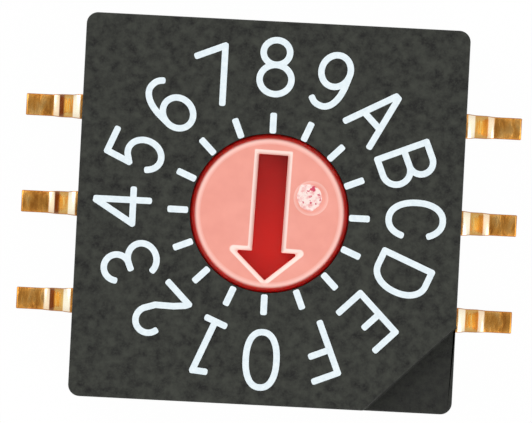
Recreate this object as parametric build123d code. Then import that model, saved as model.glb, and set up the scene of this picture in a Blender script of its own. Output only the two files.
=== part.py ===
from build123d import *
import os
from math import atan2, cos, degrees, radians, sin, sqrt, tan

# Miniature coded rotary switch, 10 mm square, soldered flat on a circuit board by six gull-wing leads.
# A screwdriver in the arrow slot turns the rotor through sixteen click positions, marked 0 to F.
# The rotor's code disc connects leads 1, 2, 4 and 8 to the two common leads in binary.
# Millimetres. Origin on the board, under the middle of the body. +Z is up, out of the dial.
# +X points to mark C, +Y to mark 8, and the arrow rests on mark 0, towards -Y.

# Body outline and heights
body_side = 10.0
corner_radius = 0.3
board_gap = 0.1
plug_height = 0.3
contact_room = 0.4
wheel_height = 0.8
housing_height = 2.75
head_sink = 0.05
edge_break = 0.05

# Housing
wheel_play = 0.07
wheel_side_play = 0.35
bore_play = 0.035
rim_chamfer = 0.02
index_leg = 2.3
index_depth = 0.6
pocket_length = 5.4
pocket_corner = 0.1
pocket_back_wall = 0.55
peg_wall = 0.6
peg_play = 0.05
peg_head_rim = 0.25
peg_head_height = 0.3
peg_head_sink = 0.03
peg_head_chamfer = 0.12

# Base
base_inset = 0.05
plug_play = 0.05
ledge_width = 0.4
pivot_depth = 0.25
pivot_play = 0.05
core_pin_radius = 0.3
well_margin = 0.12
well_corner = 0.2

# Rotor
positions = 16
notch_depth = 0.15
notch_radius = 0.6
head_radius = 2.05
head_round = 0.25
pivot_radius = 0.6

# Arrow slot in the rotor's head, measured from the axis
arrow_lean = 1.3
arrow_tail_land = 0.52
arrow_tip_land = 0.3
arrow_neck = 1.0
arrow_shaft_width = 0.76
arrow_head_width = 1.66
arrow_depth = 0.7
arrow_bevel_width = 0.13
arrow_bevel_depth = 0.06

# Moulding gate beside the arrow
gate_side = 1.05
gate_back = 0.47
gate_dish_radius = 0.46
gate_dish_depth = 0.09
gate_stub_radius = 0.36
gate_stub_height = 0.075

# Seal ring around the rotor's head, squeezed in its groove
seal_height = 0.5
seal_width = 0.6
seal_play = 0.03
seal_chamfer = 0.14

# Code disc
disc_gauge = 0.1
common_track = 1.15
disc_rim = 0.26
disc_web = 0.12

# Lead frame
frame_gauge = 0.2
frame_height = 0.8
frame_cover = 0.15
lead_pitch = 2.54
lead_reach = 1.5
lead_root_width = 0.65
lead_foot_width = 0.57
lead_level = 0.05
lead_slope_angle = 60.0
lead_upper_bend = 0.07
lead_lower_bend = 0.245
pad_margin = 0.06

# Contact springs
contact_gauge = 0.08
contact_side_gap = 0.18
contact_offset = 0.5
contact_gap = 0.01
contact_rise_angle = 20.0
contact_drop_angle = 30.0
contact_crown = 0.3
contact_tip = 0.3
contact_bend = 0.25
weld_length = 0.6

# Detent springs
detent_gauge = 0.12
detent_width = 0.7
detent_room = 0.6
detent_end_gap = 0.1
detent_rest = 0.6
detent_shoulder = 0.75
detent_flank_angle = 28.0
detent_nose = 0.34
detent_bend = 0.4
detent_gap = 0.02

# Levels above the board
frame_top = frame_height + frame_gauge
flange_top = frame_top + frame_cover
plug_top = flange_top + plug_height
wheel_bottom = plug_top + contact_room
wheel_top = wheel_bottom + wheel_height
seal_top = wheel_top + seal_height + 2 * seal_play
housing_top = flange_top + housing_height
rotor_top = housing_top - head_sink
pivot_floor = plug_top - pivot_depth
detent_bottom = wheel_bottom + (wheel_height - detent_width) / 2

# Radii and places shared by several pieces
half = body_side / 2
bore_radius = head_radius + bore_play
groove_radius = head_radius + seal_width + 2 * seal_play
pocket_back = half - pocket_back_wall
wheel_radius = pocket_back - detent_room
cavity_radius = wheel_radius + wheel_side_play
step_angle = 360 / positions

# The corner pegs stand midway between the outer leads and the body's sides
peg_room = half - lead_pitch - lead_root_width / 2
peg_place = half - peg_room / 2
peg_radius = peg_room / 2 - peg_wall
peg_head_radius = peg_radius + peg_head_rim

# Each contact spring: its track's number, the side it comes from (x) and the side it rubs on (y)
springs = {
    "8": (1, 1, 1),
    "4": (2, -1, 1),
    "2": (3, -1, -1),
    "1": (4, 1, -1),
    "common_left": (0, -1, 1),
    "common_right": (0, 1, -1),
}
weights = [8, 4, 2, 1]

# The tracks share the wheel's underside evenly
disc_radius = wheel_radius - notch_depth - disc_rim
track_pitch = (disc_radius - common_track - disc_web / 2) / (len(weights) + 1 / 2)
window_width = track_pitch - disc_web
contact_width = track_pitch - contact_side_gap

# A contact spring's bent centreline, with x measured outwards from the crown
rise, drop = radians(contact_rise_angle), radians(contact_drop_angle)
crown_reach = contact_crown / cos((rise + drop) / 2)
crown_x = crown_reach * sin((rise - drop) / 2)
crown_level = wheel_bottom - contact_gap - contact_gauge / 2
crown_z = crown_level - contact_crown + crown_reach * cos((rise - drop) / 2)
weld_z = frame_top + contact_gauge / 2
root_x = crown_x + (crown_z - weld_z) / tan(rise)

# Each lead's pad under its spring's weld, then its bends and its tip, outwards along X
pad_start = root_x - contact_offset - pad_margin
pad_end = root_x - contact_offset + weld_length + pad_margin
lead_bends = [lead_upper_bend + frame_gauge / 2, lead_lower_bend + frame_gauge / 2]
lead_slope = radians(lead_slope_angle)
lead_first_bend = half + lead_level + lead_bends[0] * tan(lead_slope / 2)
lead_second_bend = lead_first_bend + frame_height / tan(lead_slope)
lead_tip = half + lead_reach


def prism(outline, low, high):
    """The outline raised from one level to another."""
    return extrude(Pos(0, 0, low) * outline, amount=high - low)


def disc(radius, low, high):
    """A cylinder on the axis from one level to another."""
    return prism(Circle(radius), low, high)


def polygon(*points):
    return make_face(Polyline(*points, close=True))


def rectangle(x_low, x_high, y_low, y_high):
    return polygon((x_low, y_low), (x_high, y_low), (x_high, y_high), (x_low, y_high))


def sheet_section(points, bend_radii, gauge):
    """Section of a bent strip: the centreline's points, its bend radii and its thickness."""
    centreline = FilletPolyline(*points, radius=bend_radii)
    left = offset(centreline, amount=gauge / 2, side=Side.LEFT, closed=False)
    right = offset(centreline, amount=gauge / 2, side=Side.RIGHT, closed=False)
    start = Line(left @ 1, right @ 0)
    end = Line(right @ 1, left @ 0)
    return make_face([*left.edges(), end, *right.edges(), start])


def track_radius(number):
    return common_track + number * track_pitch


def contact_place(number, side, row):
    """Where a contact spring's crown meets its track, just past the middle of the switch."""
    across = -side * contact_offset
    along = row * sqrt(track_radius(number) ** 2 - contact_offset**2)
    return across, along


def place_pegs(shape):
    """The shape at each corner peg."""
    return [Pos(x, y, 0) * shape for x in (-peg_place, peg_place) for y in (-peg_place, peg_place)]


def make_peg():
    """A corner peg, passed down through the base and headed over with heat."""
    head_low = board_gap + peg_head_sink
    head = disc(peg_head_radius, head_low, head_low + peg_head_height)
    head = chamfer(head.edges().group_by(Axis.Z)[0], peg_head_chamfer)
    return disc(peg_radius, head_low, plug_top) + head


def make_housing():
    block = prism(RectangleRounded(body_side, body_side, corner_radius), flange_top, housing_top)
    block = chamfer(block.edges().group_by(Axis.Z)[-1], edge_break)
    block -= disc(cavity_radius, flange_top, wheel_top + wheel_play)
    pocket = RectangleRounded(pocket_length, 2 * pocket_back, pocket_corner)
    block -= prism(pocket, flange_top, wheel_top + wheel_play)
    block -= disc(groove_radius, flange_top, seal_top)
    block -= disc(bore_radius, flange_top, housing_top)
    rings = block.edges().filter_by(GeomType.CIRCLE).group_by(Axis.Z)[-1]
    block = chamfer(rings.filter_by(lambda ring: ring.radius > corner_radius), rim_chamfer)
    index_side = sqrt(2) * index_leg
    index = Pos(half, -half) * Rot(0, 0, 45) * Rectangle(index_side, index_side)
    block -= prism(index, housing_top - index_depth, housing_top)
    for peg in place_pegs(make_peg()):
        block += peg
    return block


def lead_section():
    """Side view of a lead on the +X side, from the middle of the switch to the tip of its foot."""
    level = frame_height + frame_gauge / 2
    foot_level = frame_gauge / 2
    points = [(0, level), (lead_first_bend, level), (lead_second_bend, foot_level), (lead_tip, foot_level)]
    return sheet_section(points, lead_bends, frame_gauge)


def lead_plan(row, finger_row):
    """Top view of a lead on the +X side: its foot, its root and the pad under its contact spring."""
    root, foot = lead_root_width / 2, lead_foot_width / 2
    blade = polygon(
        (pad_start, row - root),
        (half + lead_level, row - root),
        (lead_second_bend, row - foot),
        (lead_tip, row - foot),
        (lead_tip, row + foot),
        (lead_second_bend, row + foot),
        (half + lead_level, row + root),
        (pad_start, row + root),
    )
    reach = contact_width / 2 + pad_margin
    low = min(row - root, finger_row - reach)
    high = max(row + root, finger_row + reach)
    return blade + rectangle(pad_start, pad_end, low, high)


def make_lead(row, finger_row, plan_extra=None):
    plan = lead_plan(row, finger_row)
    if plan_extra is not None:
        plan += plan_extra
    solid = extrude(Plane.XZ * lead_section(), amount=half, both=True)
    return solid & prism(plan, 0, frame_top)


def to_side(shape, side):
    """A shape modelled on the +X side, carried to the side asked for."""
    return shape if side > 0 else mirror(shape, Plane.YZ)


def make_terminal(weight):
    track, side, row = springs[str(weight)]
    finger_row = contact_place(track, side, row)[1]
    return to_side(make_lead(row * lead_pitch, finger_row), side)


def make_common_terminal():
    """Both common leads are one piece, joined by a bar under the pivot."""
    bar = rectangle(0, pad_start, -lead_root_width / 2, lead_root_width / 2)
    halves = []
    for name in ("common_left", "common_right"):
        track, side, row = springs[name]
        halves.append(to_side(make_lead(0, contact_place(track, side, row)[1], bar), side))
    return halves[0] + halves[1]


def make_contact_spring(track, side, row):
    """A thin leaf welded on a lead's pad, rising to a crown that rubs on the code disc."""
    across, along = contact_place(track, side, row)
    tip_x = crown_x - contact_tip * cos(drop)
    tip_z = crown_z - contact_tip * sin(drop)
    points = [(root_x + weld_length, weld_z), (root_x, weld_z), (crown_x, crown_z), (tip_x, tip_z)]
    section = sheet_section(points, [contact_bend, contact_crown], contact_gauge)
    leaf = extrude(Plane.XZ * section, amount=contact_width / 2, both=True)
    return Pos(across, along, 0) * to_side(leaf, side)


def make_detent_spring():
    """A leaf bowed across the +Y side of the cavity, its nose in a notch of the rotor's wheel."""
    rest_level = pocket_back - detent_gap - detent_gauge / 2
    nose_level = wheel_radius - notch_depth + detent_gap + detent_gauge / 2
    flank = radians(detent_flank_angle)
    corner_level = nose_level - detent_nose / cos(flank) + detent_nose
    shoulder_level = corner_level + detent_shoulder * tan(flank)
    end = pocket_length / 2 - detent_end_gap
    half_points = [(end, rest_level), (end - detent_rest, rest_level), (detent_shoulder, shoulder_level)]
    points = [(-x, y) for x, y in half_points] + [(0, corner_level)] + half_points[::-1]
    bends = [detent_bend, detent_bend, detent_nose, detent_bend, detent_bend]
    section = sheet_section(points, bends, detent_gauge)
    return prism(section, detent_bottom, detent_bottom + detent_width)


def make_base(terminals):
    width = body_side - 2 * base_inset
    block = prism(RectangleRounded(width, width, corner_radius), board_gap, flange_top)
    block = chamfer(block.edges().group_by(Axis.Z)[0], edge_break)
    block += disc(cavity_radius - plug_play, flange_top, plug_top)
    ledge_out = pocket_back - plug_play
    ledge_half = pocket_length / 2 - plug_play
    for y_low, y_high in ((ledge_out - ledge_width, ledge_out), (-ledge_out, ledge_width - ledge_out)):
        block += prism(rectangle(-ledge_half, ledge_half, y_low, y_high), flange_top, detent_bottom)
    block -= disc(pivot_radius + pivot_play, pivot_floor, plug_top)
    for half_with_springs in (-1, 1):
        rows = [contact_place(*place)[1] for place in springs.values() if place[2] == half_with_springs]
        length = max(rows) - min(rows) + contact_width + 2 * well_margin
        well = RectangleRounded(2 * (pad_end + well_margin), length, well_corner)
        block -= prism(Pos(0, (min(rows) + max(rows)) / 2) * well, frame_top, plug_top)
    for hole in place_pegs(disc(peg_radius + peg_play, board_gap, flange_top)):
        block -= hole
    head_room = disc(peg_head_radius + peg_play, board_gap, board_gap + peg_head_sink + peg_head_height)
    for hole in place_pegs(head_room):
        block -= hole
    for terminal in terminals:
        block -= terminal
    core_pin_x = (pad_end + half) / 2
    for x in (-core_pin_x, core_pin_x):
        for y in (-lead_pitch, 0, lead_pitch):
            block -= Pos(x, y, 0) * disc(core_pin_radius, board_gap, frame_height)
    return block


def make_window(inner, outer, start, size):
    """One opening of the code disc: a stretch of a track between two angles."""
    low = CenterArc((0, 0), inner, start, size)
    high = CenterArc((0, 0), outer, start, size)
    return make_face([low, Line(low @ 1, high @ 1), high, Line(high @ 0, low @ 0)])


def make_code_disc():
    """A ring with a window wherever a signal is off. The rotor turns clockwise as it counts up."""
    ring = Circle(disc_radius) - Circle(common_track - window_width / 2 - disc_web)
    for weight in weights:
        track, side, row = springs[str(weight)]
        across, along = contact_place(track, side, row)
        first = degrees(atan2(along, across)) - step_angle / 2
        low = track_radius(track) - window_width / 2
        for run in range(positions // (2 * weight)):
            start = first + run * 2 * weight * step_angle
            ring -= make_window(low, low + window_width, start, weight * step_angle)
    return prism(ring, wheel_bottom, wheel_bottom + disc_gauge)


def arrow_outline(spread):
    """The arrow pointing to -Y, its edges moved outwards by spread."""
    shaft = arrow_shaft_width / 2 + spread
    wing_slope = atan2(head_radius - arrow_tip_land - arrow_neck, arrow_head_width / 2)
    tip = head_radius - arrow_tip_land + spread / cos(wing_slope)
    neck = arrow_neck - spread
    wing = (tip - neck) / tan(wing_slope)
    tail = head_radius - arrow_tail_land + spread
    right = [(shaft, tail), (shaft, -neck), (wing, -neck)]
    return polygon(*right, (0, -tip), *[(-x, y) for x, y in reversed(right)])


def make_arrow_slot():
    floor = rotor_top - arrow_depth
    slot = prism(arrow_outline(0), floor, rotor_top)
    bevel = loft(
        [
            Pos(0, 0, rotor_top - arrow_bevel_depth) * arrow_outline(0),
            Pos(0, 0, rotor_top) * arrow_outline(arrow_bevel_width),
        ],
        ruled=True,
    )
    return Rot(0, 0, -arrow_lean) * (slot + bevel)


def make_gate_mark():
    """A round dish sunk in the head, and the broken stub that stands in it."""
    floor = rotor_top - gate_dish_depth
    ball = (gate_dish_radius**2 + gate_dish_depth**2) / (2 * gate_dish_depth)
    place = Rot(0, 0, -arrow_lean) * Pos(gate_side, gate_back, 0)
    dish = Pos(0, 0, floor + ball) * Sphere(ball)
    stub = disc(gate_stub_radius, floor - gate_stub_height, floor + gate_stub_height)
    return place * dish, place * stub


def make_rotor(code_disc):
    outline = Circle(wheel_radius)
    notch = Pos(0, wheel_radius - notch_depth + notch_radius) * Circle(notch_radius)
    for position in range(positions):
        outline -= Rot(0, 0, position * step_angle) * notch
    wheel = prism(outline, wheel_bottom, wheel_top)
    head = disc(head_radius, wheel_top, rotor_top)
    head = fillet(head.edges().group_by(Axis.Z)[-1], head_round)
    pivot = disc(pivot_radius, pivot_floor + pivot_play, wheel_bottom)
    dish, stub = make_gate_mark()
    return wheel + head + pivot - make_arrow_slot() - dish + stub - code_disc


def make_seal_ring():
    middle = head_radius + seal_play + seal_width / 2
    section = Rectangle(seal_width, seal_height)
    section = chamfer(section.vertices(), seal_chamfer)
    section = Plane.XZ * (Pos(middle, (wheel_top + seal_top) / 2) * section)
    return revolve(section, Axis.Z)


def build_parts():
    terminals = {f"terminal_{weight}": make_terminal(weight) for weight in weights}
    terminals["common_terminal"] = make_common_terminal()
    code_disc = make_code_disc()
    rear_spring = make_detent_spring()
    parts = {
        "housing": make_housing(),
        "base": make_base(terminals.values()),
        "rotor": make_rotor(code_disc),
        "code_disc": code_disc,
        "seal_ring": make_seal_ring(),
        "detent_spring_rear": rear_spring,
        "detent_spring_front": mirror(rear_spring, Plane.XZ),
        **terminals,
    }
    for name, place in springs.items():
        parts[f"contact_spring_{name}"] = make_contact_spring(*place)
    return parts


os.makedirs("parts", exist_ok=True)
for part_name, part_shape in build_parts().items():
    export_step(part_shape, f"parts/{part_name}.step")
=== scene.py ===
import math
import random

import bmesh
import bpy
from mathutils import Matrix, Vector
from mathutils.geometry import delaunay_2d_cdt


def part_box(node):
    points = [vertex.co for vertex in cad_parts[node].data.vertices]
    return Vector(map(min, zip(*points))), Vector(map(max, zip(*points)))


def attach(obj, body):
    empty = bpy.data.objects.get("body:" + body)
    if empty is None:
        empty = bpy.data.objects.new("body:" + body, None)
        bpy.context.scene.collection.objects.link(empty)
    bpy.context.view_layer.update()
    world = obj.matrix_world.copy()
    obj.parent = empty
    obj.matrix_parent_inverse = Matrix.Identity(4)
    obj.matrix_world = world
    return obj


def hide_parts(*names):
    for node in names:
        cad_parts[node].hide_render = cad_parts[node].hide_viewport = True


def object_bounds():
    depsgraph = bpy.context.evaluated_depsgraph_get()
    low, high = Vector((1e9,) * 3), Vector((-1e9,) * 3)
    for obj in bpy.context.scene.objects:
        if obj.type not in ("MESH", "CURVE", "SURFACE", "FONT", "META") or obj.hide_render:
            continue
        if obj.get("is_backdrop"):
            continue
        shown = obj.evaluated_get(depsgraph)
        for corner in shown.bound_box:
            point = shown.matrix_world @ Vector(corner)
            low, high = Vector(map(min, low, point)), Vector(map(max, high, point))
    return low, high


# Looks of a 10 mm coded rotary switch: black moulded body, white dial print, red rotor and gold leads.
# Every mesh is built in millimetres and turned into metres when it is finished.
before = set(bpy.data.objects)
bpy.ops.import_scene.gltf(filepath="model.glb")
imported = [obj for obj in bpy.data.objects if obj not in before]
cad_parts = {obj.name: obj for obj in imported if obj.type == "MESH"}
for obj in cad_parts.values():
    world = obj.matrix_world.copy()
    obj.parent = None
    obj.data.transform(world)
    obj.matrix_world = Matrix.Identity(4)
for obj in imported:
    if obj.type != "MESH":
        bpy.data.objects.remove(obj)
cad_low, cad_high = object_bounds()
MM = 0.001


def box_mm(node):
    """A node's lowest and highest corners in millimetres."""
    low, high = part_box(node)
    return Vector(low) / MM, Vector(high) / MM


# Sizes read from the frame
housing_high = box_mm("housing")[1]
base_low, base_high = box_mm("base")
rotor_low, rotor_high = box_mm("rotor")
disc_low = box_mm("code_disc")[0]
seal_high = box_mm("seal_ring")[1]
lead_high = box_mm("common_terminal")[1]
HALF = housing_high.x
BASE_HALF = base_high.x
TOP = housing_high.z
ROTOR_TOP = rotor_high.z
LEAD_TIP = lead_high.x
BOARD_GAP = base_low.z

# Body moulding
CORNER_RADIUS = 0.3
FLANGE_TOP = 1.15
EDGE_ROUND = 0.05
BASE_EDGE_ROUND = 0.06
INDEX_LEG = 2.3
INDEX_DEPTH = 0.6
PRINT_HEIGHT = 0.01
FACE = TOP - PRINT_HEIGHT
CAVITY_RADIUS = 4.2
CAVITY_TOP = 2.72
GROOVE_RADIUS = 2.71
GROOVE_TOP = seal_high.z + 0.03
BORE_RADIUS = 2.072
RIM_ROUND = 0.015
POCKET_HALF_LENGTH = 2.7
POCKET_BACK = 4.45
PEG_PLACE = 3.9325
PEG_RADIUS = 0.4675
PEG_HEAD_RADIUS = 0.7175
PEG_HEAD_BOTTOM = 0.13
PEG_HEAD_HEIGHT = 0.3
PEG_PLAY = 0.05
CORE_PIN_RADIUS = 0.3
CORE_PIN_PLACE = 3.7
PIVOT_RADIUS = 0.6
PLUG_TOP = 1.45

# Rotor
HEAD_RADIUS = 2.05
HEAD_ROUND = 0.25
FROSTED_RADIUS = 1.79
POLISHED_RADIUS = 1.9
# Beyond this radius, the rotor's side is brightened by painted glow
PAINTED_GLOW_RADIUS = 1.93
WHEEL_RADIUS = 3.85
WHEEL_BOTTOM = disc_low.z
WHEEL_TOP = 2.65
NOTCH_DEPTH = 0.15
NOTCH_RADIUS = 0.6
POSITIONS = 16
ARROW_LEAN = 1.3
ARROW_TAIL = 1.53
ARROW_TIP = 1.75
ARROW_NECK = 1.0
ARROW_SHAFT_WIDTH = 0.76
ARROW_HEAD_WIDTH = 1.66
ARROW_WING_ROUND = 0.045
ARROW_DEPTH = 0.7
ARROW_BEVEL_WIDTH = 0.13
ARROW_BEVEL_DEPTH = 0.06
GATE_SIDE = 1.05
GATE_BACK = 0.47
GATE_DISH_RADIUS = 0.46
GATE_DISH_DEPTH = 0.09
GATE_STUB_RADIUS = 0.43
GATE_STUB_SIDE = 0.98
GATE_STUB_BACK = 0.51

# Leads
GAUGE = 0.2
FRAME_HEIGHT = 0.8
LEAD_PITCH = 2.54
ROOT_WIDTH = 0.65
FOOT_WIDTH = 0.57
LEVEL_LENGTH = 0.05
SLOPE_ANGLE = math.radians(60)
UPPER_BEND = 0.17
LOWER_BEND = 0.345
STRIP_EDGE = 0.025
PAD_OUT = 2.3
PAD_IN = PAD_OUT - 0.72
BEND_STEPS = 14
SLOPE_MIDDLE = 0.61

# Dial print
PRINT_OFFSET = Vector((-0.02, -0.015, 0))
TICK_INNER = 2.095
TICK_OUTER = 2.635
TICK_WIDTH = 0.173
GLYPH_FOOT = 3.0
PEN_WIDTH = 0.167

LATHE_STEPS = 320
ARC_STEP = math.radians(6)
SMOOTH_ANGLE = math.radians(32)


# Outlines and solids

def round_corners(corners, step=ARC_STEP):
    """A closed outline from (x, y, radius) corners, each rounded by an arc."""
    points = []
    count = len(corners)
    for i, (x, y, radius) in enumerate(corners):
        here = Vector((x, y))
        back = (Vector(corners[i - 1][:2]) - here).normalized()
        ahead = (Vector(corners[(i + 1) % count][:2]) - here).normalized()
        if radius == 0:
            points.append((x, y))
            continue
        half_angle = back.angle(ahead) / 2
        centre = here + (back + ahead).normalized() * (radius / math.sin(half_angle))
        start = here + back * (radius / math.tan(half_angle)) - centre
        end = here + ahead * (radius / math.tan(half_angle)) - centre
        turn = start.angle_signed(end)
        pieces = max(2, round(abs(turn) / step))
        for k in range(pieces + 1):
            spoke = Matrix.Rotation(-turn * k / pieces, 2) @ start
            points.append(tuple(centre + spoke))
    return points


def tidy(bm):
    """Close a mesh's seams and turn its faces outwards."""
    bmesh.ops.remove_doubles(bm, verts=bm.verts, dist=1e-5)
    bmesh.ops.dissolve_degenerate(bm, edges=bm.edges, dist=1e-6)
    bmesh.ops.recalc_face_normals(bm, faces=bm.faces)
    return bm


def loft(rings):
    """A solid skinned over rings of equally many points, closed by flat ends."""
    bm = bmesh.new()
    loops = [[bm.verts.new(point) for point in ring] for ring in rings]
    for low, high in zip(loops, loops[1:]):
        for i in range(len(low)):
            j = (i + 1) % len(low)
            bm.faces.new((low[i], low[j], high[j], high[i]))
    bm.faces.new(loops[0])
    bm.faces.new(loops[-1])
    return tidy(bm)


def prism(outline, low, high):
    """An outline drawn up from one height to another."""
    return loft([[(x, y, z) for x, y in outline] for z in (low, high)])


def lathe(profile, inset=None):
    """A closed profile of (radius, height) points turned about the axis. inset(radius, angle) dents it."""
    bm = bmesh.new()
    spokes = []
    for step in range(LATHE_STEPS):
        angle = 2 * math.pi * step / LATHE_STEPS
        spoke = []
        for radius, z in profile:
            dented = radius - inset(radius, angle) if inset else radius
            spoke.append(bm.verts.new((dented * math.cos(angle), dented * math.sin(angle), z)))
        spokes.append(spoke)
    for i, spoke in enumerate(spokes):
        ahead = spokes[(i + 1) % LATHE_STEPS]
        for j in range(len(profile)):
            k = (j + 1) % len(profile)
            bm.faces.new((spoke[j], ahead[j], ahead[k], spoke[k]))
    return tidy(bm)


def post(radius, low, high):
    """A round post on the axis, from one height to another."""
    return lathe([(0, low), (radius, low), (radius, high), (0, high)])


def moved(bm, x, y, turn=0.0):
    """The mesh turned about the axis by turn degrees after being shifted by x and y."""
    bmesh.ops.translate(bm, vec=(x, y, 0), verts=bm.verts)
    bmesh.ops.rotate(bm, cent=(0, 0, 0), matrix=Matrix.Rotation(math.radians(turn), 3, "Z"), verts=bm.verts)
    return bm


def new_object(name, bm):
    """An object of its own for a finished mesh."""
    mesh = bpy.data.meshes.new(name)
    bm.to_mesh(mesh)
    bm.free()
    obj = bpy.data.objects.new(name, mesh)
    bpy.context.scene.collection.objects.link(obj)
    return obj


def settle(obj):
    """Turn an object's modifiers into its mesh."""
    bpy.context.view_layer.update()
    evaluated = obj.evaluated_get(bpy.context.evaluated_depsgraph_get())
    mesh = bpy.data.meshes.new_from_object(evaluated)
    obj.modifiers.clear()
    old = obj.data
    obj.data = mesh
    bpy.data.meshes.remove(old)
    mesh.name = obj.name


def combine(obj, tool, operation):
    """Join a tool mesh to the object, or cut it away, and drop the tool."""
    tool_obj = tool if isinstance(tool, bpy.types.Object) else new_object("tool", tool)
    boolean = obj.modifiers.new("combine", "BOOLEAN")
    boolean.operation = operation
    boolean.solver = "EXACT"
    boolean.object = tool_obj
    settle(obj)
    if not isinstance(tool, bpy.types.Object):
        mesh = tool_obj.data
        bpy.data.objects.remove(tool_obj)
        bpy.data.meshes.remove(mesh)


def cut(obj, tool):
    """Take the tool's shape out of the object."""
    combine(obj, tool, "DIFFERENCE")


def join(obj, tool):
    """Make the object and the tool's shape one solid."""
    combine(obj, tool, "UNION")


def soften(obj, width):
    """Round the object's sharp edges."""
    bevel = obj.modifiers.new("soften", "BEVEL")
    bevel.width = width
    bevel.segments = 3
    bevel.limit_method = "ANGLE"
    bevel.angle_limit = math.radians(30)
    settle(obj)


def finish_piece(obj, body, slot, material, *replaced):
    """Turn the piece into metres, smooth it, dress it and let it ride on its body."""
    mesh = obj.data
    mesh.transform(Matrix.Scale(MM, 4))
    mesh.materials.clear()
    mesh.materials.append(material)
    for polygon in mesh.polygons:
        polygon.use_smooth = True
        polygon.material_index = 0
    mesh.set_sharp_from_angle(angle=SMOOTH_ANGLE)
    weigh = obj.modifiers.new("weigh", "WEIGHTED_NORMAL")
    weigh.keep_sharp = True
    settle(obj)
    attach(obj, body)
    if replaced:
        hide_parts(*replaced)
    return obj


# Shader helpers

class Nodes:
    """Shorthand for one node tree."""

    def __init__(self, tree):
        self.tree = tree

    def add(self, kind, inputs=None, **settings):
        """A new node with its settings, and its inputs linked to sockets or set to values."""
        node = self.tree.nodes.new(kind)
        for key, value in settings.items():
            setattr(node, key, value)
        for key, value in (inputs or {}).items():
            if isinstance(value, bpy.types.NodeSocket):
                self.tree.links.new(value, node.inputs[key])
            else:
                node.inputs[key].default_value = value
        return node

    def link(self, source, target):
        """A link from one socket to another."""
        self.tree.links.new(source, target)


def material_nodes(name):
    """A new material and its empty node tree."""
    material = bpy.data.materials.new(name)
    material.use_nodes = True
    material.node_tree.nodes.clear()
    return material, Nodes(material.node_tree)


def srgb(red, green, blue):
    """A colour as it shows in the photo, 0 to 255, turned into linear light."""
    def linear(value):
        value /= 255
        return value / 12.92 if value <= 0.04045 else ((value + 0.055) / 1.055) ** 2.4
    return linear(red), linear(green), linear(blue), 1.0


def shaded(colour, shares):
    """A colour with each of its three parts cut or raised by its own share."""
    return tuple(value * share for value, share in zip(colour, shares)) + (1.0,)


def calc(nodes, operation, first, second=0.0):
    """The outcome of one sum on two values or sockets."""
    return nodes.add("ShaderNodeMath", {0: first, 1: second}, operation=operation).outputs[0]


def noise(nodes, place, scale, detail, roughness=0.5):
    """Cloudy noise from 0 to 1, its scale in features per metre."""
    return nodes.add("ShaderNodeTexNoise", {
        "Vector": place, "Scale": scale, "Detail": detail, "Roughness": roughness}).outputs[0]


def mix_colour(nodes, factor, first, second):
    """A mix of two colours or colour sockets."""
    node = nodes.add("ShaderNodeMix", data_type="RGBA")
    for socket, value in ((node.inputs[0], factor), (node.inputs[6], first), (node.inputs[7], second)):
        if isinstance(value, bpy.types.NodeSocket):
            nodes.link(value, socket)
        else:
            socket.default_value = value
    return node.outputs[2]


def span(nodes, value, low, high, to_low=0.0, to_high=1.0):
    """The value carried from one range to another, clamped."""
    node = nodes.add("ShaderNodeMapRange", {
        "Value": value, "From Min": low, "From Max": high, "To Min": to_low, "To Max": to_high})
    return node.outputs[0]


def moulded_grain_group():
    """Mottled colour mask, roughness mask and bumps of a spark-eroded mould face."""
    group = bpy.data.node_groups.new("moulded_grain", "ShaderNodeTree")
    for name, default in (("Grain", 25.0), ("Mottling", 5.0), ("Bump", 0.4)):
        socket = group.interface.new_socket(name, in_out="INPUT", socket_type="NodeSocketFloat")
        socket.default_value = default
    for name in ("Mottle", "Speck"):
        group.interface.new_socket(name, in_out="OUTPUT", socket_type="NodeSocketFloat")
    group.interface.new_socket("Normal", in_out="OUTPUT", socket_type="NodeSocketVector")
    nodes = Nodes(group)
    given = nodes.add("NodeGroupInput").outputs
    place = nodes.add("ShaderNodeTexCoord").outputs["Object"]
    per_metre = 1 / MM
    grain = noise(nodes, place, calc(nodes, "MULTIPLY", given["Grain"], per_metre), 3.0, 0.6)
    blotch = noise(nodes, place, calc(nodes, "MULTIPLY", given["Mottling"], per_metre), 2.0)
    specks = span(nodes, grain, 0.35, 0.7)
    bump = nodes.add("ShaderNodeBump", {
        "Height": calc(nodes, "ADD", grain, blotch), "Strength": given["Bump"], "Distance": 0.00002})
    result = nodes.add("NodeGroupOutput").inputs
    nodes.link(blotch, result["Mottle"])
    nodes.link(specks, result["Speck"])
    nodes.link(bump.outputs["Normal"], result["Normal"])
    return group


GRAIN = moulded_grain_group()


def add_grain(nodes, grain, mottling, bump):
    """The moulded face's grain, with both noises in features per millimetre."""
    return nodes.add(
        "ShaderNodeGroup", {"Grain": grain, "Mottling": mottling, "Bump": bump}, node_tree=GRAIN)


def finish_material(nodes, **inputs):
    """Close the material with its shader. An input's name has _ for each space."""
    names = {key.replace("_", " "): value for key, value in inputs.items()}
    shader = nodes.add("ShaderNodeBsdfPrincipled", names)
    output = nodes.add("ShaderNodeOutputMaterial")
    nodes.link(shader.outputs[0], output.inputs[0])


# Finishes

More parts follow.
